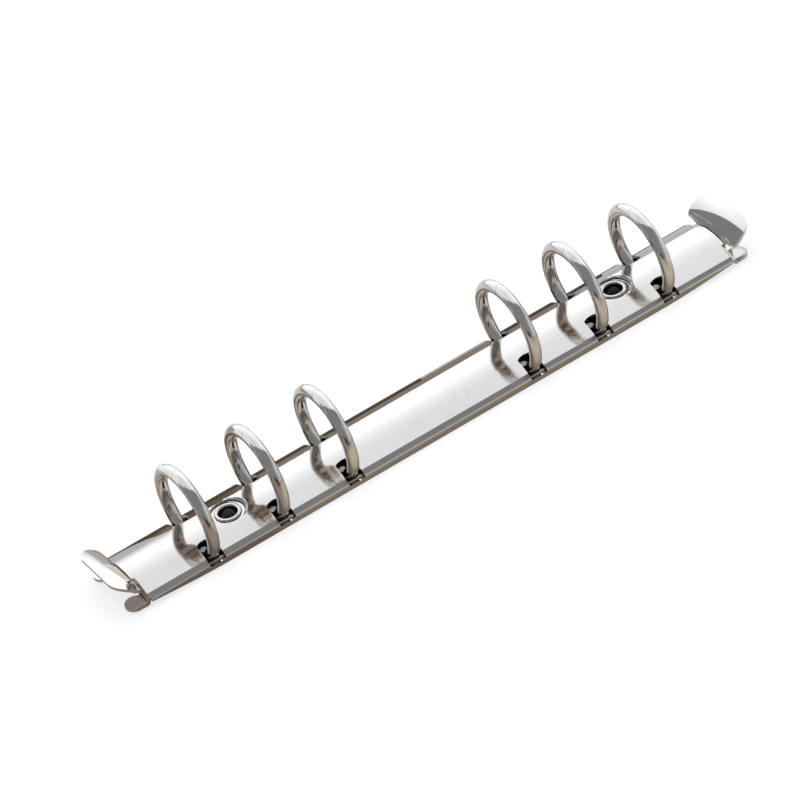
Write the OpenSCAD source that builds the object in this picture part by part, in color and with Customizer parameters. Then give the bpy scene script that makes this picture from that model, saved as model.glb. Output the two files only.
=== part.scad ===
// Six-ring binder mechanism for a personal organiser.
// An arched sheet-steel housing holds two hinge plates by their outer edges.
// Each plate carries one half of every ring. A lever at either end lifts the
// plates where they meet, and the half rings swing apart.
// Frame: X along the housing, Y across it, Z up. The origin is the centre of the
// plane that the lower edges stand on. "Near" is -Y, "far" is +Y.

/* [Rings] */
// Distance between neighbouring rings in a group of three
ring_pitch = 19; // [17:0.5:21]
// Distance between the two innermost rings, across the middle
group_gap = 51; // [46:1:60]
// Diameter of the ring wire
wire_diameter = 3; // [2.4:0.1:3.2]
// Radius of a ring, to the middle of its wire
ring_radius = 10.7; // [10.2:0.1:12]
// Height of the rings' centre above the lower edges
ring_height = 10.55; // [10.2:0.05:11]

/* [Housing] */
// Length of the housing
housing_length = 164.7; // [158:0.1:170]
// Width across the side walls
housing_width = 20; // [19.6:0.1:20.6]
// Height of the arch's crest above the lower edges
housing_height = 5.25; // [5.1:0.05:5.6]
// Radius of the arch's outer face
arch_radius = 17; // [16:0.5:19]
// Thickness of the housing's sheet
sheet = 0.7; // [0.5:0.05:0.8]
// How far the side walls' lower edge rises at the ends
end_rise = 1.45; // [0.8:0.05:1.5]

/* [Eyelets] */
// Distance between the two mounting eyelets
eyelet_spacing = 108.2; // [104:0.1:112]
// Diameter of the hole through an eyelet
eyelet_bore = 4.5; // [4:0.1:4.6]
// Diameter of an eyelet's rolled rim
eyelet_rim = 6.5; // [6.2:0.1:7]

/* [Levers] */
// Width of a lever's thumb tab
tab_width = 19.4; // [17:0.2:20]
// How far the thumb tab reaches beyond the housing's end
tab_reach = 6.5; // [6:0.05:7]
// Height of the thumb tab's outer edge above the lower edges
tab_height = 9.05; // [8.7:0.05:9.3]
// Thickness of the lever's sheet
lever_sheet = 0.8; // [0.7:0.05:0.85]

/* [Hidden] */
$fn = 96;
seam = 0.02;                                // a fold starts this far inside the sheet it grows from
RINGS = 6;
weld = 0.5;                                 // how deep joined shapes reach into each other
past = 1;                                   // how far a cut reaches past the surface it opens

// Ring places along the housing: two groups of three
function ring_x(i) =
    let (k = i <= 3 ? i - 4 : i - 3)
    sign(k) * (group_gap / 2 + (abs(k) - 1) * ring_pitch);
eyelet_x = eyelet_spacing / 2;
wire_r = wire_diameter / 2;

// Housing section
half_w = housing_width / 2;
half_l = housing_length / 2;
arch_z = housing_height - arch_radius;      // height of the arch's axis
crease_r = 0.9;                             // outside radius where shoulder turns to wall
crease_y = half_w - crease_r;
crease_z = arch_z + sqrt(pow(arch_radius - crease_r, 2) - pow(crease_y, 2));
crease_angle = atan2(crease_z - arch_z, crease_y);
lip_reach = 0.85;                           // how far the rolled lip turns inwards
lip_rise = 0.26;                            // how much higher the lip's free end is
lip_half = 52;                              // half the length that carries the lip
rise_start = 50;                            // where the lower edge starts to rise
rise_radius = (pow(half_l - rise_start, 2) + pow(end_rise, 2)) / (2 * end_rise);
rise_dip = 0.05;                            // keeps the rise from starting at a tangent
rise_cut = 3;                               // height of the block that the rise is cut from

// Slots for the ring legs
slot_half = 2.2;
slot_in = 4.35;                             // inner end of a slot, from the middle
slot_round = 4.3;                           // radius of that rounded end
slot_floor = 1.35;                          // the side wall is cut down to this height

// Round pockets that sink the eyelets' rims below the crest
pocket_top_r = 5.1;
pocket_floor_z = 4.2;
pocket_top_z = housing_height + 0.03;       // where the rounded lip levels out
pocket_lip = pocket_top_z - pocket_floor_z; // radius of the lip
pocket_floor_r = pocket_top_r - pocket_lip;
pocket_wall = 1.2;                          // sheet round a pocket, where the press has drawn it
barrel_wall = 0.4;
barrel_r = eyelet_bore / 2 + barrel_wall;
rim_rise = 0.55;                            // height of an eyelet's rim above the pocket's floor
rim_round = (eyelet_rim - eyelet_bore) / 4 + 0.03;

// Hinge plates
plate = 0.8;
hinge_y = 8.8;                              // a plate's outer edge turns about this line
hinge_z = 1.4;
closed_dip = 2.3;                           // degrees that the closed plates slope to the middle
plate_reach = 8.7;                          // from the hinge line to the inner edge
plate_half = 78.2;
eyelet_relief_r = 5.3;

// Ring halves
leg_u = 1.8;                                // leg's place, inwards from the hinge line
leg_y = hinge_y - leg_u;
leg_drop = sqrt(pow(ring_radius, 2) - pow(leg_y, 2));
leg_angle = atan2(leg_drop, leg_y);
leg_z = ring_height - leg_drop;
peg_r = 0.9;
peg_fit = 0.02;
head_r = 1.5;
head_h = 0.35;
head_edge_r = 1.1;                          // the head's small end, below
bow_overlap = 6;                            // degrees that a bow passes the top before it is cut
tip_rake = 0.6;                             // slope of the chevron where the tips meet
tip_rise = 0.45;
tip_gap = 0.08;

// End corners: the shoulder turns down, then out into a rounded ear
corner_in = 5.6;
corner_out = 9.75;
corner_bend = 1;                            // outside radius of the bend
corner_sweep = 40;                          // degrees of the arch that hold a whole corner
drop_x = half_l - 0.05;                     // outer face of the turned-down part
ear_top = 1.25;
ear_x = half_l + 2.05;                      // centre of the ear's round end
ear_y = 7.2;
ear_r = 2.45;
foot_bend = 0.3;
foot_width = 0.7;                           // flat beside the foot's bend, before the ear widens

// Levers and their pins
pivot_x = half_l - 1.85;
pivot_z = 1.5;
pin_r = 0.6;
knuckle_r = 1.1;
knuckle_half = corner_in - 0.15;
lug_r = 1.3;
lug_drop = 0.2;                             // how far the lug's web starts below the pin
pin_past = 0.25;                            // pin beyond each lug, under its peened head
pin_head_r = 0.9;
pin_head_top_r = 0.7;
pin_head_h = 0.3;
pin_fit = 0.05;
neck_x = half_l + 0.15;                     // neck's inner face, clear of the housing
neck_half = 5.9;
shank_half = 4.4;                           // narrow part of the neck, between the ears
bend_1 = 2.5;                               // upper face's radius where the neck leans out
bend_1_z = 4.4;
bend_angle = 45.6;
shank_z = 1;
shank_bend = 1;
shank_top = shank_z + shank_bend;
tab_x = half_l + tab_reach;
crown_radius = 97;                          // of the tab's slight crown, from end to end
crown_z = tab_height - crown_radius;
crown_sweep = 10;                           // degrees of the crown that hold the whole tab
bend_start = 1;                             // degrees that the second bend starts in the first
tab_corner = 4.2;                           // radius of the tab's outer corners
tab_shoulder = 1.6;                         // radius where a side turns in to the neck
neck_straight = 0.6;                        // neck outside the bend, before it widens
shank_narrow_z = 2.6;                       // the neck is narrow below this height
shank_wide_z = 4.4;                         // and has its full width at this one

// The tab's second bend leaves the first one smoothly and ends at the tab's edge
bend_1_end = [neck_x + bend_1 * (1 - sin(bend_angle)), bend_1_z + bend_1 * cos(bend_angle)];
tab_chord = [tab_x, tab_height] - bend_1_end;
chord_angle = atan2(tab_chord[1], tab_chord[0]);
turn_2 = 2 * (bend_angle - chord_angle);
bend_2 = norm(tab_chord) / (2 * sin(turn_2 / 2));
bend_2_centre = bend_1_end + bend_2 * [sin(bend_angle), -cos(bend_angle)];

// Jaw that works the plates: one lip below them, two fingers above
jaw_start = pivot_x + 0.8;
jaw_lip_half = 1.6;
jaw_lip_thick = 0.6;
jaw_lip_tip = plate_half - 1.1;
jaw_clear = 0.02;                           // the lip stays this far above the standing plane
finger_in = 3.3;                            // inner side of a finger, from the middle
finger_z = 1.85;
finger_thick = 0.7;
finger_tip = plate_half - 0.5;

// Small helpers ---------------------------------------------------------------

// Part of a ring of the given outside radius, between two angles under 180 apart
module arc_band(outside, thick, from, to) {
    far = 2 * outside;
    mid = (from + to) / 2;
    intersection() {
        difference() {
            circle(outside);
            circle(outside - thick);
        }
        polygon([[0, 0],
                 far * [cos(from), sin(from)],
                 2 * far * [cos(mid), sin(mid)],
                 far * [cos(to), sin(to)]]);
    }
}

// Extrudes a (y, z) outline along X, centred
module along_x(length) {
    rotate([90, 0, 90])
        linear_extrude(length, center = true) children();
}

// Extrudes an (x, z) outline along Y, from y0 to y1
module along_y(y0, y1) {
    translate([0, y1, 0])
        rotate([90, 0, 0])
            linear_extrude(y1 - y0) children();
}

// Turns a profile drawn as (radius, x) about an axis parallel to X at height z
module about_x(z, half_angle) {
    translate([0, 0, z])
        rotate([0, 90, 0])
            rotate([0, 0, 180 - half_angle])
                rotate_extrude(angle = 2 * half_angle) children();
}

module both_sides() {
    children();
    mirror([0, 1, 0]) children();
}

module both_ends() {
    children();
    mirror([1, 0, 0]) children();
}

// Housing ---------------------------------------------------------------------

// Filled (y, z) section of the arch and its walls, smaller all round by inset
module arch_section(inset) {
    big = 3 * half_w;
    bottom = inset == 0 ? sheet / 2 : -past;
    r = arch_radius - inset;
    intersection() {
        translate([0, arch_z]) circle(r);
        translate([-half_w + inset, bottom])
            square([2 * (half_w - inset), big]);
        union() {
            translate([-crease_y, bottom]) square([2 * crease_y, big]);
            for (s = [-1, 1]) scale([s, 1]) {
                translate([crease_y, crease_z]) circle(crease_r - inset);
                translate([0, bottom]) square([half_w, crease_z - bottom]);
                polygon([[0, arch_z],
                         [crease_y, crease_z],
                         [crease_y, crease_z] + big * [cos(crease_angle), sin(crease_angle)],
                         [0, big]]);
            }
        }
    }
}

// Rounded lower edge of a wall, with the lip that turns in under the plates
module lip_section(reach) {
    r = sheet / 2;
    start = [half_w - r, r];
    end = start + [-reach, reach * lip_rise / lip_reach];
    turn = atan2(end[1] - start[1], end[0] - start[0]);
    for (s = [-1, 1]) scale([s, 1]) {
        translate(start) circle(r);
        if (reach > 0) {
            translate(end) circle(r);
            translate(start) rotate(turn) translate([0, -r]) square([norm(end - start), sheet]);
        }
    }
}

module lower_edge_cut() {
    translate([rise_start, 0, -past])
        difference() {
            translate([0, -half_w - past, 0])
                cube([half_l, housing_width + 2 * past, end_rise + rise_cut]);
            translate([0, 0, past + rise_radius - rise_dip])
                rotate([90, 0, 0])
                    cylinder(r = rise_radius, h = housing_width + 4 * past, center = true);
        }
}

module slot_cut(i) {
    translate([ring_x(i), 0, slot_floor])
        linear_extrude(housing_height)
            intersection() {
                translate([0, -slot_in - slot_round]) circle(slot_round);
                translate([-slot_half, -half_w - past]) square([2 * slot_half, half_w + past]);
            }
}

// Space above a pocket's floor, round an upright axis, with a flared mouth
module pocket_space() {
    rotate_extrude()
        difference() {
            translate([0, pocket_floor_z]) square([pocket_top_r, pocket_lip]);
            translate([pocket_top_r, pocket_floor_z]) circle(pocket_lip);
        }
}

// The shoulder's corner at one end: bend, turned-down face, foot and round ear
module end_corner() {
    face = drop_x - sheet;
    bend_z = ear_top + foot_bend;
    fold_t = sheet - 2 * seam;
    intersection() {
        about_x(arch_z, corner_sweep)
            union() {
                translate([arch_radius - sheet + seam, drop_x - corner_bend - weld])
                    square([fold_t, weld]);
                translate([arch_radius - seam - corner_bend, drop_x - corner_bend])
                    arc_band(corner_bend, fold_t, 0, 90);
                translate([0, drop_x - fold_t])
                    square([arch_radius - seam - corner_bend, fold_t]);
            }
        translate([face - corner_bend - weld, -corner_out, bend_z - seam])
            cube([2 * corner_bend + sheet, corner_out - corner_in, housing_height]);
    }
    intersection() {
        along_y(-corner_out, 0)
            union() {
                translate([drop_x + foot_bend, bend_z])
                    arc_band(foot_bend + sheet, sheet, 180, 270);
                translate([drop_x + foot_bend, ear_top - sheet])
                    square([ear_x + ear_r - drop_x, sheet]);
            }
        linear_extrude(housing_height)
            union() {
                translate([ear_x, -ear_y]) circle(ear_r);
                polygon([[face, -corner_in], [drop_x + foot_width, -corner_in],
                         [ear_x, -ear_y], [ear_x, -ear_y - ear_r], [face, -corner_out]]);
            }
    }
}

// Inward lug that holds one end of the lever pin
module pin_lug() {
    along_y(-corner_in - sheet, -corner_in)
        difference() {
            union() {
                translate([pivot_x, pivot_z]) circle(lug_r);
                translate([pivot_x, pivot_z - lug_drop])
                    square([drop_x - sheet / 2 - pivot_x, lug_r + lug_drop]);
            }
            translate([pivot_x, pivot_z]) circle(pin_r + peg_fit);
        }
}

module housing() {
    color("gainsboro")
    difference() {
        union() {
            difference() {
                union() {
                    along_x(housing_length) arch_section(0);
                    along_x(housing_length) lip_section(0);
                }
                along_x(housing_length + 2 * past) arch_section(sheet);
                both_ends() lower_edge_cut();
                both_ends() both_sides()
                    translate([drop_x - corner_bend, -2 * half_w, 0])
                        cube([corner_bend + past, 2 * half_w - corner_in, 2 * housing_height]);
            }
            along_x(2 * lip_half) lip_section(lip_reach);
            both_ends() both_sides() {
                end_corner();
                pin_lug();
            }
            both_ends()
                intersection() {
                    along_x(housing_length) arch_section(0);
                    translate([eyelet_x, 0, pocket_floor_z - sheet])
                        cylinder(r1 = pocket_floor_r, r2 = pocket_top_r + pocket_wall,
                                 h = housing_height - pocket_floor_z + sheet + seam);
                }
        }
        both_sides() for (i = [1:RINGS]) slot_cut(i);
        both_ends() translate([eyelet_x, 0, 0]) {
            pocket_space();
            cylinder(r = barrel_r + peg_fit, h = housing_height);
        }
    }
}

// Hinge plates ----------------------------------------------------------------

// Places children in the closed plate's own frame: y runs in from the hinge line
module in_near_plate() {
    translate([0, -hinge_y, hinge_z])
        rotate([-closed_dip, 0, 0]) children();
}

module near_plate() {
    color("silver")
    in_near_plate()
        difference() {
            union() {
                translate([-plate_half, 0, -plate / 2])
                    cube([2 * plate_half, plate_reach, plate]);
                translate([-plate_half, 0, 0])
                    rotate([0, 90, 0]) cylinder(d = plate, h = 2 * plate_half);
            }
            for (i = [1:RINGS])
                translate([ring_x(i), leg_u, -plate])
                    cylinder(r = peg_r + peg_fit, h = 2 * plate);
            both_ends()
                translate([eyelet_x, hinge_y, -plate])
                    cylinder(r = eyelet_relief_r, h = 2 * plate);
        }
}

module far_plate() {
    mirror([0, 1, 0]) near_plate();
}

// Rings -----------------------------------------------------------------------

// Everything beyond the chevron that parts the two tips
module beyond_tip(gap) {
    reach = 2 * wire_r;
    edge = tip_rise - tip_rake * reach;
    translate([0, 0, ring_height + ring_radius - 2 * wire_r])
        linear_extrude(4 * wire_r)
            polygon([[-reach, edge - gap], [0, tip_rise - gap], [reach, edge - gap],
                     [reach, 4 * wire_r], [-reach, 4 * wire_r]]);
}

// The curved wire of one side, a little past the top, down to the plate
module near_bow() {
    translate([0, 0, ring_height])
        rotate([90, 0, 90])
            rotate([0, 0, 90 - bow_overlap])
                rotate_extrude(angle = 90 + leg_angle + bow_overlap)
                    translate([ring_radius, 0]) circle(wire_r);
}

module near_leg() {
    translate([0, -leg_y, leg_z]) sphere(wire_r);
    in_near_plate()
        translate([0, leg_u, 0]) cylinder(r = wire_r, h = leg_z - hinge_z);
}

module staked_peg() {
    in_near_plate()
        translate([0, leg_u, -plate / 2 - head_h]) {
            cylinder(r = peg_r, h = plate + head_h + weld);
            cylinder(r1 = head_edge_r, r2 = head_r, h = head_h);
        }
}

// All that lies below the plate's upper face, where a leg has to end
module plate_clearance() {
    depth = 2 * wire_diameter;
    in_near_plate()
        translate([-wire_diameter, -wire_diameter, plate / 2 - depth])
            cube([2 * wire_diameter, leg_u + 2 * wire_diameter, depth]);
}

module near_ring(i) {
    color("lightsteelblue")
    translate([ring_x(i), 0, 0]) {
        difference() {
            union() {
                near_bow();
                near_leg();
            }
            plate_clearance();
            beyond_tip(tip_gap / 2);
        }
        staked_peg();
    }
}

module far_ring(i) {
    color("lightsteelblue")
    translate([ring_x(i), 0, 0])
        mirror([0, 1, 0]) {
            difference() {
                union() {
                    near_bow();
                    near_leg();
                }
                plate_clearance();
                mirror([0, 1, 0]) before_tip(tip_gap / 2);
            }
            staked_peg();
        }
}

// Everything short of the chevron, which the far half has to leave free
module before_tip(gap) {
    reach = 2 * wire_r;
    edge = tip_rise - tip_rake * reach;
    translate([0, 0, ring_height + ring_radius - 2 * wire_r])
        linear_extrude(4 * wire_r)
            polygon([[-reach, edge + gap], [0, tip_rise + gap], [reach, edge + gap],
                     [reach, -4 * wire_r], [-reach, -4 * wire_r]]);
}

// Levers ----------------------------------------------------------------------

// (x, z) profile of the neck and tab, its upper face on the outside of both bends
module tab_profile() {
    translate([neck_x, shank_top]) square([lever_sheet, bend_1_z - shank_top]);
    translate([neck_x + bend_1, bend_1_z])
        arc_band(bend_1, lever_sheet, 90 + bend_angle, 180);
    translate(bend_2_centre)
        arc_band(bend_2 - seam, lever_sheet - 2 * seam,
                 90 + bend_angle - turn_2, 90 + bend_angle + bend_start);
}

module tab_sheet() {
    about_x(crown_z, crown_sweep)
        translate([-crown_z, 0])
            rotate(90) mirror([0, 1]) tab_profile();
}

// Plan outline of the tab: round outer corners, sides that run in to the neck
module tab_plan() {
    half = tab_width / 2;
    corner = [tab_x - tab_corner, half - tab_corner];
    shoulder = [corner[0], half - tab_shoulder];
    root = [neck_x + neck_straight, neck_half];
    lean = atan2(shoulder[1] - root[1], shoulder[0] - root[0]);
    spread = asin(tab_shoulder / norm(shoulder - root));
    side = shoulder + tab_shoulder * [-sin(lean + spread), cos(lean + spread)];
    for (s = [-1, 1]) scale([1, s]) {
        translate(corner) circle(tab_corner);
        translate(shoulder) circle(tab_shoulder);
        polygon([[neck_x - past, 0], [neck_x - past, neck_half], root, side, shoulder, corner,
                 [tab_x, corner[1]], [tab_x, 0]]);
    }
}

// (y, z) outline of the neck, which narrows to pass between the ears
module neck_front() {
    top = 2 * tab_height;
    for (s = [-1, 1]) scale([s, 1])
        polygon([[0, shank_z], [shank_half, shank_z], [shank_half, shank_narrow_z],
                 [neck_half, shank_wide_z], [half_w, shank_wide_z + weld], [half_w, top],
                 [0, top]]);
}

// The part inside the housing: shank, knuckle, one lip below the plates, two fingers above
module jaw() {
    fold_t = lever_sheet - 2 * seam;
    shank_in = neck_x + lever_sheet - seam - shank_bend;
    along_y(-shank_half, shank_half)
        union() {
            translate([neck_x + seam, shank_top])
                square([fold_t, weld]);
            translate([shank_in, shank_top])
                arc_band(shank_bend, fold_t, 270, 360);
            translate([jaw_start, shank_z])
                square([shank_in - jaw_start, fold_t]);
        }
    along_y(-knuckle_half, knuckle_half)
        translate([pivot_x, pivot_z]) circle(knuckle_r);
    along_y(-jaw_lip_half, jaw_lip_half)
        translate([jaw_lip_tip, jaw_clear]) square([pivot_x - jaw_lip_tip, jaw_lip_thick]);
    both_sides()
        along_y(finger_in, shank_half)
            translate([finger_tip, finger_z]) square([pivot_x - finger_tip, finger_thick]);
}

module right_lever() {
    color("whitesmoke")
    difference() {
        union() {
            intersection() {
                tab_sheet();
                linear_extrude(2 * tab_height) tab_plan();
                translate([tab_x, 0, 0]) along_x(2 * (tab_reach + past)) neck_front();
            }
            jaw();
        }
        translate([pivot_x, 0, pivot_z])
            rotate([90, 0, 0]) cylinder(r = pin_r + pin_fit, h = housing_width, center = true);
    }
}

module left_lever() {
    mirror([1, 0, 0]) right_lever();
}

module right_lever_pin() {
    reach = corner_in + sheet;
    color("gray")
    translate([pivot_x, 0, pivot_z])
        rotate([90, 0, 0]) {
            cylinder(r = pin_r, h = 2 * (reach + pin_past), center = true);
            for (s = [0, 1]) mirror([0, 0, s])
                translate([0, 0, reach])
                    cylinder(r1 = pin_head_r, r2 = pin_head_top_r, h = pin_head_h);
        }
}

module left_lever_pin() {
    mirror([1, 0, 0]) right_lever_pin();
}

// Eyelets ---------------------------------------------------------------------

module right_eyelet() {
    bore_r = eyelet_bore / 2;
    rim_r = eyelet_rim / 2;
    color("gainsboro")
    translate([eyelet_x, 0, 0])
        rotate_extrude()
            union() {
                translate([bore_r, 0]) square([barrel_r - bore_r, pocket_floor_z]);
                intersection() {
                    translate([(bore_r + rim_r) / 2, pocket_floor_z + rim_rise - rim_round])
                        circle(rim_round);
                    translate([bore_r, pocket_floor_z]) square([rim_r - bore_r, 2 * rim_rise]);
                }
            }
}

module left_eyelet() {
    mirror([1, 0, 0]) right_eyelet();
}

housing();
near_plate();
far_plate();
for (i = [1:RINGS]) {
    near_ring(i);
    far_ring(i);
}
left_lever();
right_lever();
left_lever_pin();
right_lever_pin();
left_eyelet();
right_eyelet();
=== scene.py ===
import math
from collections import namedtuple

import bpy
from mathutils import Matrix, Vector

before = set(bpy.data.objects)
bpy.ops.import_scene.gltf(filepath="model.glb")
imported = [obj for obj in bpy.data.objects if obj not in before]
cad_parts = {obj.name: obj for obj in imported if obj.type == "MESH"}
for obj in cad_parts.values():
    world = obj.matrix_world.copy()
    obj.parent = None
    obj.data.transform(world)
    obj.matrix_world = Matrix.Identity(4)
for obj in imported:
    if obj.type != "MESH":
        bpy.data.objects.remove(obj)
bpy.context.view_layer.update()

MM = 0.001
WHITE = (1.0, 1.0, 1.0, 1.0)

# Camera, in the part's frame. Azimuth 0 looks along +Y.
CAMERA_AZIMUTH = -24.17        # degrees
CAMERA_ELEVATION = 38.09       # degrees
CAMERA_ROLL = -14.53           # degrees
CAMERA_DISTANCE = 1179.2       # mm, from the aim point
CAMERA_AIM = (0.0, 0.0, 3.75)  # mm
CAMERA_SHIFT = (-5.47, 0.32)   # mm to the right and up, in the picture's own directions
CAMERA_FOCAL_PIXELS = 5127.7   # focal length over the width of one pixel
CAMERA_CLIP = (0.01, 20.0)     # m
PICTURE_WIDTH = 800            # pixels
SENSOR_WIDTH = 36.0            # mm

# Places on the part, in mm
RING_PLACES = (-63.5, -44.5, -25.5, 25.5, 44.5, 63.5)
LEFT_GROUP = RING_PLACES[:3]
RING_CENTRE_HEIGHT = 10.55
RING_RADIUS = 10.7
EYELET_PLACE = 54.1            # from the middle
EAR_CENTRE = (84.4, -7.2)      # of the near right ear's round end
HOUSING_HALF_WIDTH = 10.0
HOUSING_HALF_LENGTH = 82.4
CREASE_TURN = 0.0023           # run of the near crease's upper edge along x
# Upper edge of a lever's sloping flank: x at the middle, then its run and bend along y
FLANK_LINE = (85.6, -0.128, -0.0085)

# Edges of the zones where the sheet's shading or tint changes, in mm.
# A span starts where the zone is 0 and ends where it is 1.
FLANK_EDGE = (-0.08, 0.08)                          # inside the flank's upper edge
FLANK_FOOT = (5.0, 5.4)                             # height
TIP_SPAN = (6.0, 8.3)                               # y on the left lever
MIDDLE_SPANS = ((2.2, 0.5), (-6.4, -5.0))           # y on the left lever
SHOULDER_SPANS = ((-5.0, -9.3), (-8.87, -8.67))     # y, turned with the near crease
CREASE_SPANS = ((-8.67, -8.87), (-9.4, -9.1))       # y, turned with the near crease
SLOT_SPANS = ((-4.3, -2.9), (-1.9, -2.1))           # x from a ring's middle
SLOT_END = (-3.0, -4.5)                             # y
POCKET_SPANS = ((3.7, 4.0), (4.8, 4.5))             # distance from an eyelet's middle
POCKET_RIGHT = (1.4, 2.6)                           # x from an eyelet's middle
LEFT_EAR_START = (-81.5, -81.9)                     # x
RIGHT_EAR_START = (82.2, 82.6)                      # x
EAR_SIDE = (-3.5, -4.5)                             # y
EAR_TOP = (1.12, 1.2)                               # height
EAR_BEND = (1.6, 1.4)                               # height
EAR_RIM = (1.1, 2.4)                                # distance from the ear's centre
FOOT_GLINT = (-0.3, -3.4)                           # middle of a painted glint, from a ring's
FOOT_GLINT_SPAN = (1.5, 0.8)                        # distance from the glint's middle

# Linear colour of the nickel plating at one reflection
NICKEL = (0.58, 0.53, 0.49)

# Plating. Noise scales are per metre and depths in mm. A band is the two noise levels
# between which a mark fades in.
FLAT_GRAIN = (0.004, 1.0, 1.0)     # hairlines along the part
ROUND_GRAIN = (1.0, 1.0, 0.05)     # hairlines up an eyelet's barrel
SHEET_PATCHES = dict(scale=160.0, detail=3.0, roughness=0.6)
SHEET_HAIRLINES = dict(scale=9000.0, detail=2.0, roughness=0.6)
SHEET_SPECKS = dict(scale=2600.0, detail=1.0)
SHEET_WAVES = dict(scale=70.0, detail=0.0)
SHEET_STAIN_BAND = (0.52, 0.78)
SHEET_DULL_BAND = (0.4, 0.75)
SHEET_DULL_ROUGHER = 1.8           # factor on the roughness
SHEET_HAIRLINE_BAND = (0.55, 0.8)
SHEET_HAIRLINE_ROUGHER = 0.6       # share of the roughness that a hairline adds
WAVE_DEPTH = 0.02
HAIRLINE_DEPTH = 0.0015
SPECK_DEPTH = 0.002
WIRE_STREAKS = dict(scale=11.0, detail=3.0, roughness=0.55)     # per radius of the wire
WIRE_STREAK_RUN = 0.9              # along the wire, so that streaks are longer than wide
WIRE_PATCHES = dict(scale=420.0, detail=2.0, roughness=0.6)
WIRE_PITS = dict(scale=3200.0, detail=1.0)
WIRE_STAIN_BAND = (0.5, 0.8)
WIRE_STREAK_BAND = (0.35, 0.75)
WIRE_ROUGHNESS = (0.06, 0.20)
WIRE_DULL = 0.88                   # factor on the colour of a dull patch
STREAK_DEPTH = 0.008
PIT_DEPTH = 0.003
# Painted shade in crevices, recesses and under parts, by how much space round a point is free
PAINTED_SHADE_SAMPLES = 8
PAINTED_SHADE_FULL_LEVEL = 0.15            # free space round a point where the painted shade is at its darkest

# Studio levels, where 1 is white
AMBIENT = 0.62
LAMP_POWER = 14
LAMP_PLACE = (0.15, 0.55, 1.3)     # m
LAMP_SIZE = (1.8, 1.6)             # m
FLOOR_COLOUR = (0.3, 0.3, 0.3, 1.0)
FLOOR_ROUGHNESS = 0.9
FLOOR_GLOW = 0.735                 # that the camera and the metal see
FLOOR_Z = -0.00002                 # m
FLOOR_HALF = 4.0                   # m

# Tent that metal sees. A level changes from the first value to the second while a
# component of the direction goes from the third to the fourth.
TENT_OVERHEAD = (1.0, 0.73, 0.68, 0.93)    # z
TENT_RIGHT = (1.0, 0.68, 0.72, 0.98)       # x
TENT_LEFT = (1.0, 0.75, -0.05, -0.40)      # x
# Planes that end the tent towards the camera, as weights of a direction's x, y and z
FRONT_LEFT = (0.41, 0.91, 0.21)
FRONT_RIGHT = (0.0, 1.0, 0.21)
LOW_LEFT = (0.55, 1.0, 0.0)                # only left of the middle and below a z
LOW_LEFT_TOP = 0.46
TENT_EDGE = 0.008                          # half the width over which the tent ends
ROOM_LEVEL = 0.185                         # in front of the tent
GLOW_RIGHT = (0.0, 0.42)                   # from x = 0 to x = 1
GLOW_FADE = (1.0, 0.0, 0.30, 0.65)         # z

# What the floor round the part looks like in its reflections, by distance in mm, with the part's
# painted shadow darkest next to it
NEAR_FLOOR = ((0, (0.17, 0.145, 0.11)), (2, (0.21, 0.175, 0.13)), (4, (0.35, 0.305, 0.24)),
              (12, (0.45, 0.385, 0.30)), (40, (0.40, 0.35, 0.28)), (90, (0.28, 0.24, 0.215)))
FAR_FLOOR = ((0, (0.12, 0.095, 0.08)), (3, (0.24, 0.20, 0.17)), (8, (0.42, 0.37, 0.33)),
             (16, (0.52, 0.48, 0.44)), (90, (0.54, 0.53, 0.53)))
FLOOR_MIDDLE = (-12, 12)               # y, from near to far
LEFT_END_SHADE = (0.6, 0.55, 0.6)      # factor on the near floor's left end
NEAR_LEFT_SPAN = (-50, -38)            # x, from that end to the rest
FAR_LEFT_FLOOR = (0.32, 0.26, 0.205)
FAR_LEFT_SPAN = (-56, -40)             # x, from that end to the rest
LEFT_FLOOR = (0.22, 0.185, 0.165)
RIGHT_FLOOR = (0.58, 0.56, 0.56)
SIDE_START, SIDE_END = 75, 110         # from the middle to either side
SIDE_SHARE = 0.8                       # of a side's colour beyond its end
LOW_CARD_HALF = 1500
LOW_CARD_Z = -0.012                    # just above the floor

# Upright cards beyond the part, with outlines of x and z in mm. The stops are by x from
# the part's middle plus REAR_HALF_LENGTH on the rear card, and by height on the left one.
REAR_HALF_LENGTH = 150
REAR_Y = 20
REAR_OUTLINE = ((-68.7, 0), (REAR_HALF_LENGTH, 0), (REAR_HALF_LENGTH, 8.3), (-62, 8.3),
                (-65.5, 6.4), (-68.7, 3))
REAR_STOPS = ((82, (0.09, 0.05, 0.02)), (84, (0.13, 0.085, 0.035)),
              (86, (0.17, 0.125, 0.085)), (89, (0.17, 0.125, 0.085)),
              (92, (0.11, 0.08, 0.055)), (104, (0.11, 0.08, 0.055)),
              (110, (0.19, 0.155, 0.12)), (200, (0.20, 0.165, 0.14)),
              (209, (0.40, 0.39, 0.40)), (300, (0.45, 0.45, 0.46)))
LEFT_END_Y = 30
LEFT_END_RECTANGLE = (-110, -59.5, 20)         # start and end along x, and height
LEFT_END_STOPS = ((0, (0.38, 0.37, 0.39)), (7.3, (0.39, 0.39, 0.40)), (9, (0.43, 0.43, 0.43)),
                  (10.8, (0.51, 0.51, 0.51)), (12.9, (0.66, 0.66, 0.66)),
                  (14.8, (0.80, 0.80, 0.80)), (20, (1.0, 1.0, 1.0)))
# Dark cards just beyond the far wall's foot, seen only in reflections: painted shade along the
# foot of the wall.
FOOT_Y = 12.4
FOOT_WEDGE_OUTLINE = ((-76.5, 1.8), (-71, 1.8), (-71, 3.4), (-72.4, 3.1), (-74.4, 2.3))
FOOT_WEDGE_COLOUR = (0.06, 0.04, 0.025)
FOOT_RECTANGLES = ((-84, -71, 1.8), (-71, 6, 3.4), (26, 58, 3.4), (58, 84, 1.6))
FOOT_STRIP_COLOUR = (0.06, 0.045, 0.035)

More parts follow.
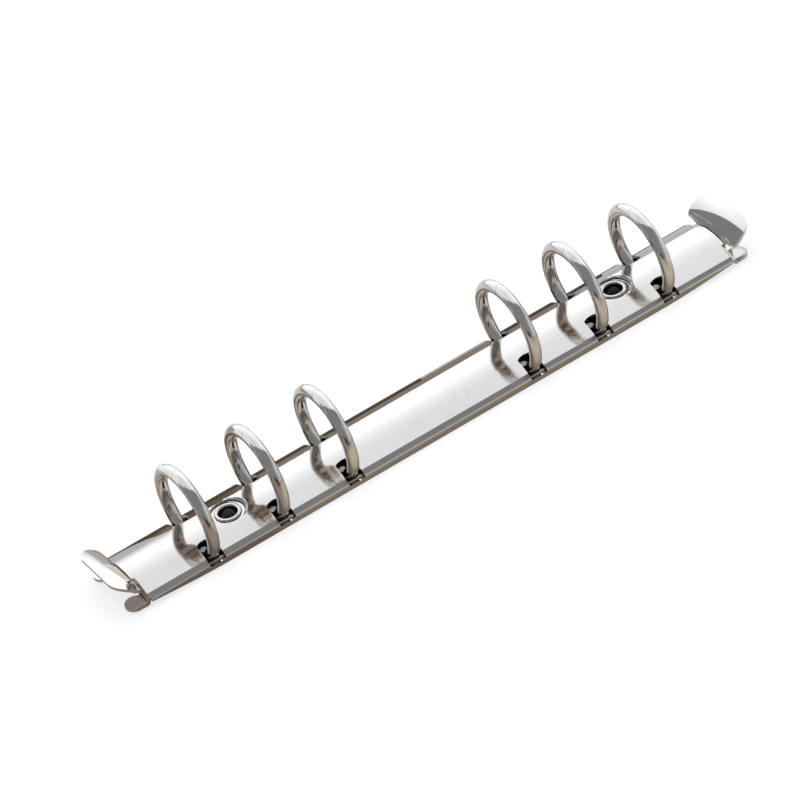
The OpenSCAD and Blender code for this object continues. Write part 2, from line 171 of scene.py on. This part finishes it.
# Cards round the part. A corner is its azimuth in degrees, where 0 is the far side and
# 90 the right, then its distance from the middle and its height in mm.
DARK_FLOOR = ((-166, 110, -0.006), (-128, 110, -0.006), (-128, 300, -0.006),
              (-166, 300, -0.006))
DARK_FLOOR_COLOUR = (0.05, 0.042, 0.036)
DARK_STAND = ((-168, 300, 0), (-128, 300, 0), (-128, 300, 48), (-168, 300, 40))
DARK_STAND_COLOUR = (0.05, 0.042, 0.038)
HORIZON_STRIP = ((-5, 300, 0), (70, 300, 0), (70, 300, 13), (-5, 300, 13))
HORIZON_COLOUR = (0.10, 0.075, 0.055)


# Camera ----------------------------------------------------------------------

def make_camera():
    azimuth, elevation, roll = (
        math.radians(a) for a in (CAMERA_AZIMUTH, CAMERA_ELEVATION, CAMERA_ROLL)
    )
    back = Vector((
        math.sin(azimuth) * math.cos(elevation),
        -math.cos(azimuth) * math.cos(elevation),
        math.sin(elevation),
    ))
    level = Vector((math.cos(azimuth), math.sin(azimuth), 0.0))
    upright = back.cross(level)
    right = math.cos(roll) * level + math.sin(roll) * upright
    up = -math.sin(roll) * level + math.cos(roll) * upright

    data = bpy.data.cameras.new("camera")
    data.sensor_width = SENSOR_WIDTH
    data.lens = CAMERA_FOCAL_PIXELS * SENSOR_WIDTH / PICTURE_WIDTH
    data.clip_start, data.clip_end = CAMERA_CLIP
    camera = bpy.data.objects.new("camera", data)
    bpy.context.scene.collection.objects.link(camera)
    place = Vector(CAMERA_AIM) + CAMERA_DISTANCE * back
    place += CAMERA_SHIFT[0] * right + CAMERA_SHIFT[1] * up
    camera.matrix_world = Matrix.Translation(place * MM) @ Matrix(
        (right, up, back)
    ).transposed().to_4x4()
    bpy.context.scene.camera = camera


# Node helpers ----------------------------------------------------------------

class Nodes:
    """Short calls for building a node tree."""

    def __init__(self, tree):
        self.tree = tree
        tree.nodes.clear()

    def add(self, kind, **settings):
        node = self.tree.nodes.new(kind)
        for name, value in settings.items():
            setattr(node, name, value)
        return node

    def join(self, source, target):
        self.tree.links.new(source, target)

    def feed(self, socket, value):
        if isinstance(value, bpy.types.NodeSocket):
            self.join(value, socket)
        else:
            socket.default_value = value

    def point(self):
        """The point on the object, in metres."""
        return self.add("ShaderNodeTexCoord").outputs["Object"]

    def parts(self, vector):
        """The x, y and z of a vector."""
        node = self.add("ShaderNodeSeparateXYZ")
        self.join(vector, node.inputs[0])
        return node.outputs

    def math(self, operation, first, *others):
        """The operation on one value, or on several in turn."""
        for other in others or (0.0,):
            node = self.add("ShaderNodeMath", operation=operation)
            self.feed(node.inputs[0], first)
            self.feed(node.inputs[1], other)
            first = node.outputs[0]
        return first

    def vector(self, operation, first, second=None, output="Vector"):
        node = self.add("ShaderNodeVectorMath", operation=operation)
        self.feed(node.inputs[0], first)
        if second is not None:
            self.feed(node.inputs[1], second)
        return node.outputs[output]

    def stretch(self, vector, scale):
        return self.vector("MULTIPLY", vector, scale)

    def dot(self, vector, weights):
        return self.vector("DOT_PRODUCT", vector, weights, "Value")

    def in_mm(self, where):
        """The x, y and z in mm of a point in metres."""
        return self.parts(self.stretch(where, (1 / MM, 1 / MM, 1 / MM)))

    def length(self, first, second):
        return self.math("SQRT", self.math("ADD", self.math("POWER", first, 2.0),
                                           self.math("POWER", second, 2.0)))

    def spread(self, value, low, high, from_low=0.0, from_high=1.0):
        """Goes from low to high while the value goes from from_low to from_high."""
        node = self.add("ShaderNodeMapRange")
        self.feed(node.inputs["Value"], value)
        node.inputs["From Min"].default_value = from_low
        node.inputs["From Max"].default_value = from_high
        node.inputs["To Min"].default_value = low
        node.inputs["To Max"].default_value = high
        return node.outputs["Result"]

    def rise(self, value, *spans):
        """0 to 1 over a span, or over several spans multiplied."""
        return self.math("MULTIPLY", 1.0, *(self.spread(value, 0.0, 1.0, *s) for s in spans))

    def noise(self, where, scale, detail, roughness=0.5):
        node = self.add("ShaderNodeTexNoise")
        self.feed(node.inputs["Vector"], where)
        node.inputs["Scale"].default_value = scale
        node.inputs["Detail"].default_value = detail
        node.inputs["Roughness"].default_value = roughness
        return node.outputs["Fac"]

    def blend(self, factor, first, second):
        node = self.add("ShaderNodeMix", data_type="RGBA")
        self.feed(node.inputs["Factor"], factor)
        self.feed(node.inputs["A"], first)
        self.feed(node.inputs["B"], second)
        return node.outputs["Result"]

    def ramp(self, value, stops):
        """A colour by a value in mm. Stops are (mm, colour)."""
        node = self.add("ShaderNodeValToRGB")
        reach = stops[-1][0]
        self.feed(node.inputs[0], self.math("DIVIDE", value, reach))
        elements = node.color_ramp.elements
        while len(elements) < len(stops):
            elements.new(0.5)
        for element, (place, colour) in zip(elements, stops):
            element.position = place / reach
            element.color = (*colour, 1)
        return node.outputs[0]

    def bump(self, height, depth, below=None):
        """The normal of a surface with a height map that is depth mm deep."""
        node = self.add("ShaderNodeBump")
        node.inputs["Strength"].default_value = 1.0
        node.inputs["Distance"].default_value = depth * MM
        self.feed(node.inputs["Height"], height)
        if below is not None:
            self.join(below, node.inputs["Normal"])
        return node.outputs["Normal"]

    def leant(self, normal, amount, push):
        """The normal pushed by an amount from 0 to 1."""
        node = self.add("ShaderNodeVectorMath", operation="SCALE")
        node.inputs[0].default_value = push
        self.feed(node.inputs["Scale"], amount)
        return self.vector("NORMALIZE", self.vector("ADD", normal, node.outputs[0]))

    def show(self, shader, kind="Material"):
        """Join the shader to the tree's output."""
        self.join(shader.outputs[0], self.add(f"ShaderNodeOutput{kind}").inputs["Surface"])


def new_material(name):
    material = bpy.data.materials.new(name)
    material.use_nodes = True
    return material, Nodes(material.node_tree)


# Zones -----------------------------------------------------------------------
# Each function gives 1 inside its zone and 0 outside.

def lever_flank(n, where, side):
    """The part of a lever's thumb tab that slopes down to the housing."""
    x, y, z = n.in_mm(where)
    start, run, bend = FLANK_LINE
    line = n.math("ADD", start, n.math("MULTIPLY", y, run * side),
                  n.math("MULTIPLY", y, y, bend))
    inside = n.math("SUBTRACT", line, n.math("MULTIPLY", x, side))
    return n.math("MULTIPLY", n.rise(inside, FLANK_EDGE), n.rise(z, FLANK_FOOT))


def left_flank(n, where):
    return lever_flank(n, where, -1)


def right_flank(n, where):
    return lever_flank(n, where, 1)


def left_tip(n, where):
    """The far tip of the left lever's sloping flank, which is a little steeper."""
    _, y, _ = n.in_mm(where)
    return n.math("MULTIPLY", left_flank(n, where), n.rise(y, TIP_SPAN))


def left_middle(n, where):
    """The middle of the left lever's sloping flank, which is a little flatter."""
    _, y, _ = n.in_mm(where)
    return n.math("MULTIPLY", left_flank(n, where), n.rise(y, *MIDDLE_SPANS))


def near_crease(n, where):
    """The place across the housing, turned with the near crease."""
    x, y, _ = n.in_mm(where)
    return n.math("ADD", y, n.math("MULTIPLY", x, CREASE_TURN))


def near_shoulder(n, where):
    """Grows towards the near crease, where the arch is flatter."""
    return n.rise(near_crease(n, where), *SHOULDER_SPANS)


def crease_start(n, where):
    """The narrow strip where the near crease begins."""
    return n.rise(near_crease(n, where), *CREASE_SPANS)


def left_of_slots(n, where):
    """The left edge of each near slot in the left group, where the sheet is raised."""
    x, y, _ = n.in_mm(where)
    edges = (n.rise(n.math("SUBTRACT", x, place), *SLOT_SPANS) for place in LEFT_GROUP)
    return n.math("MULTIPLY", n.math("MAXIMUM", 0.0, *edges), n.rise(y, SLOT_END))


def pocket_wall(n, where):
    """The right-hand wall of each eyelet's pocket."""
    x, y, _ = n.in_mm(where)
    across = n.math("SUBTRACT", x, n.math("MULTIPLY", n.math("SIGN", x), EYELET_PLACE))
    ring = n.rise(n.length(across, y), *POCKET_SPANS)
    return n.math("MULTIPLY", ring, n.rise(across, POCKET_RIGHT))


def left_ear(n, where):
    """The upper faces of the near left ear and its folded-out tab."""
    x, y, z = n.in_mm(where)
    return n.math("MULTIPLY", n.rise(x, LEFT_EAR_START), n.rise(y, EAR_SIDE),
                  n.rise(z, EAR_TOP))


def right_ear(n, where):
    """The top of the near right ear's folded-out tab."""
    x, y, z = n.in_mm(where)
    return n.math("MULTIPLY", n.rise(x, RIGHT_EAR_START), n.rise(y, EAR_SIDE),
                  n.rise(z, EAR_TOP, EAR_BEND))


def right_ear_rim(n, where):
    """Grows towards the round edge of the near right ear's tab."""
    x, y, _ = n.in_mm(where)
    away = n.length(n.math("SUBTRACT", x, EAR_CENTRE[0]), n.math("SUBTRACT", y, EAR_CENTRE[1]))
    return n.math("MULTIPLY", right_ear(n, where), n.rise(away, EAR_RIM))


def beside_wires(n, where):
    """The plate that shows through each near slot, to the left of the wire, where a glint is
    painted.
    """
    x, y, _ = n.in_mm(where)
    along = n.math("SUBTRACT", y, FOOT_GLINT[1])
    aways = (n.length(n.math("SUBTRACT", x, place + FOOT_GLINT[0]), along)
             for place in RING_PLACES)
    return n.rise(n.math("MINIMUM", *aways), FOOT_GLINT_SPAN)


# A zone multiplies the colour by its tint, which paints a reflection, shade or glint, and adds
# its push to the normal. None leaves either alone.
Zone = namedtuple("Zone", "mask tint push", defaults=(None, None))

HOUSING_ZONES = (
    Zone(near_shoulder, push=(0.0, 0.18, 0.0)),
    Zone(crease_start, push=(0.0, -0.12, 0.0)),
    Zone(left_of_slots, push=(-0.055, 0.0, 0.0)),
    Zone(pocket_wall, push=(-0.2, -0.6, 0.0)),
    # Painted reflection: the tint browns the near left ear's tab.
    Zone(left_ear, tint=(0.94, 0.81, 0.71), push=(0.0, -1.4, 0.0)),
    # Painted shade: the tints grey the near right ear's tab, darker towards its round edge.
    Zone(right_ear, tint=(0.80, 0.79, 0.79)),
    Zone(right_ear_rim, tint=(0.62, 0.62, 0.62)),
)
# Painted reflection: the tints give the left lever's sloping flank a tan, deeper at its far tip
# and darker in its middle.
LEFT_LEVER_ZONES = (
    Zone(left_flank, tint=(0.92, 0.85, 0.77)),
    Zone(left_tip, tint=(0.96, 0.90, 0.84), push=(0.12, 0.0, 0.0)),
    Zone(left_middle, tint=(0.63, 0.58, 0.55), push=(0.0, 0.0, 0.5)),
)
RIGHT_LEVER_ZONES = (Zone(right_flank, push=(0.0, -0.5, 0.0)),)
# Painted glint: the tint brightens the plate beside each wire, which has no painted shade.
PLATE_ZONES = (Zone(beside_wires, tint=(1.7, 1.65, 1.65), push=(-0.4, -0.93, 0.0)),)


# Materials -------------------------------------------------------------------

def shade_of(colour, level):
    return (*(level * c for c in colour), 1)


def unshaded_share(n, reach, open_level):
    """Painted shade as a factor: 0 in crevices and 1 where at least open_level of the space
    within reach is free.
    """
    node = n.add("ShaderNodeAmbientOcclusion", samples=PAINTED_SHADE_SAMPLES)
    node.inputs["Distance"].default_value = reach * MM
    return n.spread(node.outputs["AO"], 0.0, 1.0, PAINTED_SHADE_FULL_LEVEL, open_level)


def show_metal(n, colour, roughness, normal):
    shader = n.add("ShaderNodeBsdfPrincipled")
    shader.inputs["Metallic"].default_value = 1.0
    n.feed(shader.inputs["Base Color"], colour)
    n.feed(shader.inputs["Roughness"], roughness)
    n.feed(shader.inputs["Normal"], normal)
    n.show(shader)


def stained_nickel(n, patches, band, dull):
    """Nickel with patches that are darker by the factor dull."""
    return n.blend(n.rise(patches, band), shade_of(NICKEL, 1.0), shade_of(NICKEL, dull))


def plated_sheet(name, dull, rough, crevice=0.1, reach=3.0, open_level=0.55,
                 grain=FLAT_GRAIN, zones=(), unshaded_zones=False):
    """Bright plating on pressed sheet: hairlines, dull patches and painted shade in crevices.

    The painted shade in crevices has the factor crevice of the plating's colour and is looked
    for within reach, in mm. Hairlines run along the smallest value of grain. With the last
    argument set, the zones have no painted shade in them.
    """
    material, n = new_material(name)
    where = n.point()
    patches = n.noise(where, **SHEET_PATCHES)
    hairlines = n.noise(n.stretch(where, grain), **SHEET_HAIRLINES)
    masks = [zone.mask(n, where) for zone in zones]

    unshaded = unshaded_share(n, reach, open_level)
    if unshaded_zones:
        unshaded = n.math("MAXIMUM", unshaded, *masks)
    plating = stained_nickel(n, patches, SHEET_STAIN_BAND, dull)
    # Painted shade: crevices and recesses take the plating's colour times crevice.
    colour = n.blend(unshaded, shade_of(NICKEL, crevice), plating)

    roughness = n.math(
        "ADD",
        n.spread(patches, rough, rough * SHEET_DULL_ROUGHER, *SHEET_DULL_BAND),
        n.spread(hairlines, 0.0, rough * SHEET_HAIRLINE_ROUGHER, *SHEET_HAIRLINE_BAND),
    )
    normal = n.bump(n.noise(where, **SHEET_WAVES), WAVE_DEPTH)
    normal = n.bump(hairlines, HAIRLINE_DEPTH, normal)
    normal = n.bump(n.noise(where, **SHEET_SPECKS), SPECK_DEPTH, normal)
    for mask, zone in zip(masks, zones):
        # The tint is a painted reflection, shade or glint.
        if zone.tint:
            colour = n.blend(mask, colour, n.stretch(colour, zone.tint))
        if zone.push:
            normal = n.leant(normal, mask, zone.push)
    show_metal(n, colour, roughness, normal)
    return material


def plated_wire(name, ring_place):
    """Bright plating on drawn wire: faint streaks that follow the bend of the ring."""
    material, n = new_material(name)
    where = n.point()
    x, y, z = n.in_mm(where)
    across = n.math("SUBTRACT", x, ring_place)
    height = n.math("SUBTRACT", z, RING_CENTRE_HEIGHT)
    outward = n.math("SUBTRACT", n.length(y, height), RING_RADIUS)
    along = n.math("ARCTAN2", height, y)
    around = n.math("ARCTAN2", across, outward)
    on_wire = n.add("ShaderNodeCombineXYZ")
    n.join(n.math("MULTIPLY", along, WIRE_STREAK_RUN), on_wire.inputs["X"])
    n.join(n.math("SINE", around), on_wire.inputs["Y"])
    n.join(n.math("COSINE", around), on_wire.inputs["Z"])
    streaks = n.noise(on_wire.outputs[0], **WIRE_STREAKS)

    colour = stained_nickel(n, n.noise(where, **WIRE_PATCHES), WIRE_STAIN_BAND, WIRE_DULL)
    roughness = n.spread(streaks, *WIRE_ROUGHNESS, *WIRE_STREAK_BAND)
    normal = n.bump(streaks, STREAK_DEPTH)
    normal = n.bump(n.noise(where, **WIRE_PITS), PIT_DEPTH, normal)
    show_metal(n, colour, roughness, normal)
    return material


def dress_nodes():
    look = {
        "housing": plated_sheet("housing plating", dull=0.94, rough=0.05,
                                zones=HOUSING_ZONES),
        "left_lever": plated_sheet("left lever plating", dull=0.94, rough=0.05, reach=2.0,
                                   zones=LEFT_LEVER_ZONES),
        "right_lever": plated_sheet("right lever plating", dull=0.94, rough=0.07, reach=2.0,
                                    zones=RIGHT_LEVER_ZONES),
    }
    # The hinge plates lie under the housing, so their painted shade is deep and reaches far.
    plate = plated_sheet("hinge plate plating", dull=0.5, rough=0.14, crevice=0.06, reach=4.0,
                         open_level=0.9, zones=PLATE_ZONES, unshaded_zones=True)
    eyelet = plated_sheet("eyelet plating", dull=0.9, rough=0.06, crevice=0.08, reach=6.0,
                          open_level=0.95, grain=ROUND_GRAIN)
    pin = plated_sheet("pin steel", dull=0.8, rough=0.25)
    for side in ("near", "far"):
        look[f"{side}_plate"] = plate
    for side in ("left", "right"):
        look[f"{side}_lever_pin"] = pin
        look[f"{side}_eyelet"] = eyelet
    for number, place in enumerate(RING_PLACES, start=1):
        wire = plated_wire(f"wire plating {number}", place)
        look[f"near_ring_{number}"] = wire
        look[f"far_ring_{number}"] = wire
    for name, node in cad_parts.items():
        node.data.materials.clear()
        node.data.materials.append(look[name])


# Studio ----------------------------------------------------------------------

def before_plating(n, colour):
    """The colour that nickel has to reflect so that the given one is seen."""
    return n.stretch(colour, tuple(1 / c for c in NICKEL))


def rays(n, *kinds):
    """1 for rays of the given kinds, else 0."""
    path = n.add("ShaderNodeLightPath")
    return n.math("MAXIMUM", *(path.outputs[f"Is {kind} Ray"] for kind in kinds))


def seen_directly(n):
    """1 for rays from the camera, from metal and through glass, else 0."""
    return rays(n, "Camera", "Glossy", "Transmission")


def sky_colour(n):
    """What metal sees above the floor: a bright tent, darker on the camera's side.

    The tent is dimmer overhead and to either side. Straight lines end it in front,
    and a faint glow comes in low from the right.
    """
    direction = n.add("ShaderNodeTexCoord").outputs["Generated"]
    x, _, z = n.parts(direction)

    tent = n.math("MINIMUM", n.spread(z, *TENT_OVERHEAD), n.spread(x, *TENT_RIGHT))
    tent = n.math("MULTIPLY", tent, n.spread(x, *TENT_LEFT))
    low_left = n.math("MAXIMUM", n.dot(direction, LOW_LEFT),
                      n.math("SUBTRACT", z, LOW_LEFT_TOP), x)
    inside = n.math("MINIMUM", n.dot(direction, FRONT_LEFT), n.dot(direction, FRONT_RIGHT),
                    low_left)
    in_tent = n.rise(inside, (-TENT_EDGE, TENT_EDGE))

    glow = n.math("MULTIPLY", n.spread(x, *GLOW_RIGHT), n.spread(z, *GLOW_FADE))
    room = n.math("ADD", ROOM_LEVEL, glow)
    level = n.math("ADD", n.math("MULTIPLY", tent, in_tent),
                   n.math("MULTIPLY", room, n.math("SUBTRACT", 1.0, in_tent)))
    grey = n.add("ShaderNodeCombineColor")
    for socket in grey.inputs[:3]:
        n.feed(socket, level)
    return before_plating(n, grey.outputs[0])


def make_world():
    world = bpy.data.worlds.new("studio")
    bpy.context.scene.world = world
    world.use_nodes = True
    n = Nodes(world.node_tree)
    background = n.add("ShaderNodeBackground")
    reflected = rays(n, "Glossy", "Transmission")
    n.feed(background.inputs["Color"], n.blend(reflected, WHITE, sky_colour(n)))
    n.feed(background.inputs["Strength"], n.spread(seen_directly(n), AMBIENT, 1.0))
    n.show(background, "World")


def make_face(name, points):
    """A flat piece of the studio, with its points in metres."""
    mesh = bpy.data.meshes.new(name)
    mesh.from_pydata(points, [], [tuple(range(len(points)))])
    face = bpy.data.objects.new(name, mesh)
    bpy.context.scene.collection.objects.link(face)
    material, n = new_material(name)
    mesh.materials.append(material)
    return face, n


def make_floor():
    half = FLOOR_HALF
    floor, n = make_face("floor", [(-half, -half, 0), (half, -half, 0),
                                   (half, half, 0), (-half, half, 0)])
    floor.location.z = FLOOR_Z
    shader = n.add("ShaderNodeBsdfPrincipled")
    shader.inputs["Base Color"].default_value = FLOOR_COLOUR
    shader.inputs["Roughness"].default_value = FLOOR_ROUGHNESS
    shader.inputs["Specular IOR Level"].default_value = 0.0
    shader.inputs["Emission Color"].default_value = WHITE
    n.feed(shader.inputs["Emission Strength"], n.math("MULTIPLY", seen_directly(n), FLOOR_GLOW))
    n.show(shader)


def low_card_colour(n):
    """Warm grey beside the part, with a painted shadow darkest where it stands, lighter on the
    far and right sides.
    """
    x, y, _ = n.in_mm(n.point())
    away = n.math("MAXIMUM",
                  n.math("SUBTRACT", n.math("ABSOLUTE", y), HOUSING_HALF_WIDTH),
                  n.math("SUBTRACT", n.math("ABSOLUTE", x), HOUSING_HALF_LENGTH),
                  0.0)
    # Painted shadow: both ramps start dark at the part's edge.
    near = n.ramp(away, NEAR_FLOOR)
    near = n.blend(n.rise(x, NEAR_LEFT_SPAN), n.stretch(near, LEFT_END_SHADE), near)
    far = n.blend(n.rise(x, FAR_LEFT_SPAN), (*FAR_LEFT_FLOOR, 1), n.ramp(away, FAR_FLOOR))
    colour = n.blend(n.rise(y, FLOOR_MIDDLE), near, far)
    for side, end_colour in ((-1, LEFT_FLOOR), (1, RIGHT_FLOOR)):
        share = n.spread(x, 0.0, SIDE_SHARE, side * SIDE_START, side * SIDE_END)
        colour = n.blend(share, colour, (*end_colour, 1))
    return colour


def rear_colour(n):
    """Brown, darkest at the left end, with a grey right end."""
    x, _, _ = n.in_mm(n.point())
    return n.ramp(n.math("ADD", x, REAR_HALF_LENGTH), REAR_STOPS)


def left_end_colour(n):
    """Lilac grey that fades into the tent's white towards the top."""
    _, _, z = n.in_mm(n.point())
    return n.ramp(z, LEFT_END_STOPS)


def make_card(name, points, colour):
    """A card that only the part's reflections show, with its points in mm.

    The colour is what the metal shows: three values, or a function that adds nodes.
    """
    card, n = make_face(name, [[c * MM for c in point] for point in points])
    glow = n.add("ShaderNodeEmission")
    shown = colour(n) if callable(colour) else colour
    n.feed(glow.inputs["Color"], before_plating(n, shown))
    n.show(glow)
    card.visible_camera = False
    card.visible_shadow = False
    card.visible_diffuse = False


def rectangle(start, end, height):
    return (start, 0), (end, 0), (end, height), (start, height)


def upright(y, outline):
    """Points of a card across y, from an outline of x and z."""
    return [(x, y, z) for x, z in outline]


def around(corners):
    """Points of a card from azimuths, distances and heights."""
    turns = [math.radians(azimuth) for azimuth, _, _ in corners]
    return [(distance * math.sin(turn), distance * math.cos(turn), height)
            for turn, (_, distance, height) in zip(turns, corners)]


def make_cards():
    half, z = LOW_CARD_HALF, LOW_CARD_Z
    make_card("low card", [(-half, -half, z), (half, -half, z), (half, half, z),
                           (-half, half, z)], low_card_colour)
    make_card("dark floor", around(DARK_FLOOR), DARK_FLOOR_COLOUR)
    make_card("dark stand", around(DARK_STAND), DARK_STAND_COLOUR)
    make_card("rear card", upright(REAR_Y, REAR_OUTLINE), rear_colour)
    make_card("left end card", upright(LEFT_END_Y, rectangle(*LEFT_END_RECTANGLE)),
              left_end_colour)
    # Painted shade along the far wall's foot.
    make_card("foot wedge", upright(FOOT_Y, FOOT_WEDGE_OUTLINE), FOOT_WEDGE_COLOUR)
    for sizes in FOOT_RECTANGLES:
        make_card("foot strip", upright(FOOT_Y, rectangle(*sizes)), FOOT_STRIP_COLOUR)
    make_card("horizon strip", around(HORIZON_STRIP), HORIZON_COLOUR)


def make_lamp():
    data = bpy.data.lights.new("softbox", "AREA")
    data.shape = "RECTANGLE"
    data.size, data.size_y = LAMP_SIZE
    data.energy = LAMP_POWER
    lamp = bpy.data.objects.new("softbox", data)
    lamp.location = LAMP_PLACE
    aim = -Vector(LAMP_PLACE)
    lamp.rotation_mode = "QUATERNION"
    lamp.rotation_quaternion = aim.to_track_quat("-Z", "Y")
    lamp.visible_glossy = False
    bpy.context.scene.collection.objects.link(lamp)


bpy.context.scene.view_settings.view_transform = "Standard"
make_camera()
dress_nodes()
make_world()
make_floor()
make_cards()
make_lamp()
